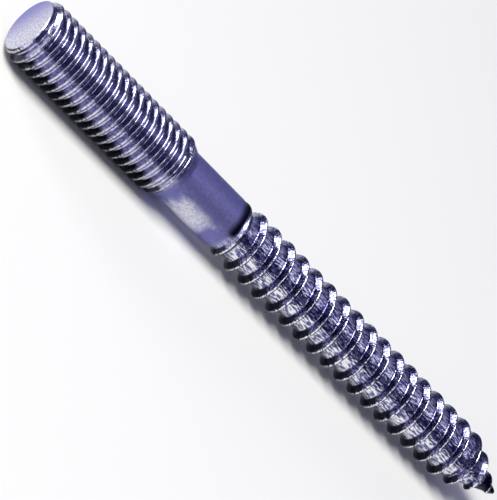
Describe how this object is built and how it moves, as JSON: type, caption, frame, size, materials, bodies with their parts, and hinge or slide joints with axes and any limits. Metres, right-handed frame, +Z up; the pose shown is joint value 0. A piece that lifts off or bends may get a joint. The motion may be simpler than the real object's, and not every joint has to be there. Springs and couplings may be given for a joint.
{
  "type": "hanger bolt",
  "caption": "Headless double-ended screw: a machine thread with a flat chamfered end, a plain shank and a coarse lag thread that runs out over a gimlet point.",
  "frame": {"origin": "middle of the bolt's length, on the floor line under the machine thread, with the bolt lying on its side", "axes": "+X along the bolt from the flat machine end to the gimlet point, +Z up from the floor it lies on, +Y across it"},
  "size_m": [0.1006, 0.0098, 0.0098],
  "materials": {
    "zinc_plated_steel": "bright violet-blue zinc plate"
  },
  "bodies": {
    "root": {"hanger_bolt": "zinc_plated_steel"}
  },
  "joints": []
}
